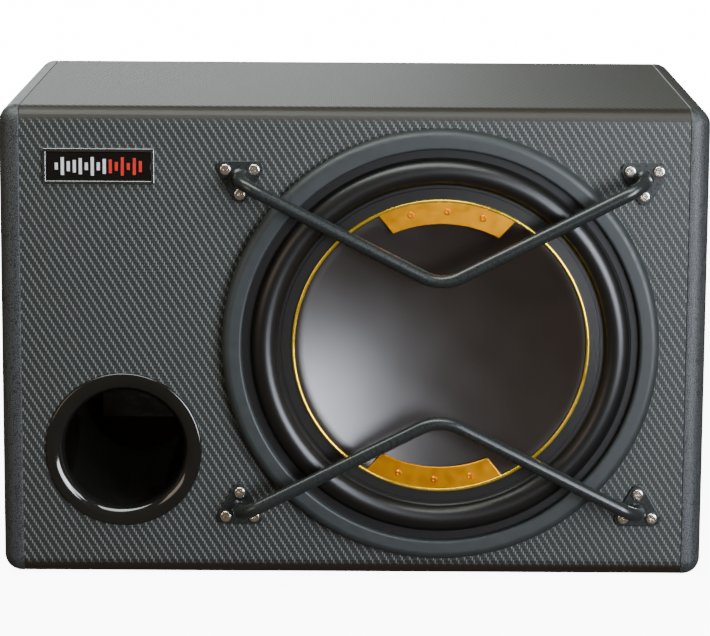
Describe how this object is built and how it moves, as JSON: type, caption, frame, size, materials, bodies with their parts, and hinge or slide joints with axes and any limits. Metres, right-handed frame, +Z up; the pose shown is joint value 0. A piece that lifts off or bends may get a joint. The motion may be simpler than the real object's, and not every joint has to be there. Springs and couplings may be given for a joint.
{
  "type": "car subwoofer speaker",
  "caption": "Ported car subwoofer box wrapped in carbon-look vinyl, with a large driver behind two bent guard bars, a flared port and rear push terminals.",
  "frame": {"origin": "middle of the bounding box's underside, where the enclosure stands on the floor", "axes": "+X to the right seen from the front, +Y from the driver's front towards the rear terminals, +Z up"},
  "size_m": [0.5, 0.337, 0.338],
  "materials": {
    "mdf": "sanded medium-density fibreboard",
    "leatherette": "pebble-grain black leatherette",
    "carbon_vinyl": "embossed carbon-look twill vinyl, satin",
    "wadding": "white polyester wadding",
    "port_plastic": "polished black ABS",
    "badge_chrome": "polished chrome",
    "badge_gloss": "gloss black",
    "bar_paint": "satin black powder coat",
    "screw_nickel": "nickel plate",
    "screw_black": "black oxide",
    "trim_rubber": "matte moulded rubber",
    "surround_rubber": "satin moulded rubber",
    "foam": "closed-cell foam",
    "basket_steel": "black powder-coated pressed steel",
    "spider_cloth": "resin-dipped cotton",
    "zinc_steel": "zinc-plated steel",
    "ferrite": "ground ferrite",
    "fibre_board": "pressed fibre board",
    "brass": "stamped brass",
    "copper_braid": "braided tinsel copper",
    "cone_plastic": "moulded polypropylene",
    "dish_plastic": "satin black moulding",
    "gold_plastic": "gold-lacquered moulding",
    "former_foil": "amber-lacquered foil",
    "copper_wire": "enamelled copper wire",
    "cup_abs": "fine-textured black ABS",
    "button_red": "moulded red ABS",
    "button_black": "moulded black ABS",
    "spring_steel": "drawn spring wire",
    "wire_red": "red PVC",
    "wire_black": "black PVC"
  },
  "bodies": {
    "enclosure": {"front_baffle": "mdf", "rear_panel": "mdf", "top_panel": "mdf", "bottom_panel": "mdf", "left_side_panel": "leatherette", "right_side_panel": "leatherette", "centre_wrap": "carbon_vinyl", "damping_pad": "wadding", "port_tube": "port_plastic", "badge_frame": "badge_chrome", "badge_plate": "badge_gloss", "upper_guard_bar": "bar_paint", "lower_guard_bar": "bar_paint", "foot_plate_upper_left": "bar_paint", "foot_plate_upper_right": "bar_paint", "foot_plate_lower_left": "bar_paint", "foot_plate_lower_right": "bar_paint", "guard_screws": "screw_nickel", "trim_ring": "trim_rubber", "driver_seal": "foam", "basket": "basket_steel", "driver_screws": "screw_black", "surround": "surround_rubber", "spider": "spider_cloth", "top_plate": "zinc_steel", "magnet": "ferrite", "t_yoke": "zinc_steel", "terminal_block": "fibre_board", "driver_tabs": "brass", "tinsel_lead_upper": "copper_braid", "tinsel_lead_lower": "copper_braid", "terminal_cup": "cup_abs", "terminal_seal": "foam", "terminal_rear_cover": "cup_abs", "terminal_screws": "screw_black", "red_spring": "spring_steel", "black_spring": "spring_steel", "red_contact": "brass", "black_contact": "brass", "red_wire": "wire_red", "black_wire": "wire_black"},
    "cone_assembly": {"cone": "cone_plastic", "centre_dish": "dish_plastic", "gold_trim": "gold_plastic", "coil_former": "former_foil", "coil_winding": "copper_wire"},
    "red_push_button": {"red_button": "button_red"},
    "black_push_button": {"black_button": "button_black"}
  },
  "joints": [
    {"name": "cone_travel", "type": "slide", "parent": "enclosure", "child": "cone_assembly", "axis": [0, -1, 0], "range_m": [-0.01, 0.01], "stiffness_N_per_m": 4500, "deforming": ["surround", "spider", "tinsel_lead_upper", "tinsel_lead_lower"]},
    {"name": "red_button_press", "type": "slide", "parent": "enclosure", "child": "red_push_button", "axis": [0, -1, 0], "range_m": [0, 0.005], "stiffness_N_per_m": 400, "springref_m": -0.004, "deforming": ["red_spring"]},
    {"name": "black_button_press", "type": "slide", "parent": "enclosure", "child": "black_push_button", "axis": [0, -1, 0], "range_m": [0, 0.005], "stiffness_N_per_m": 400, "springref_m": -0.004, "deforming": ["black_spring"]}
  ]
}
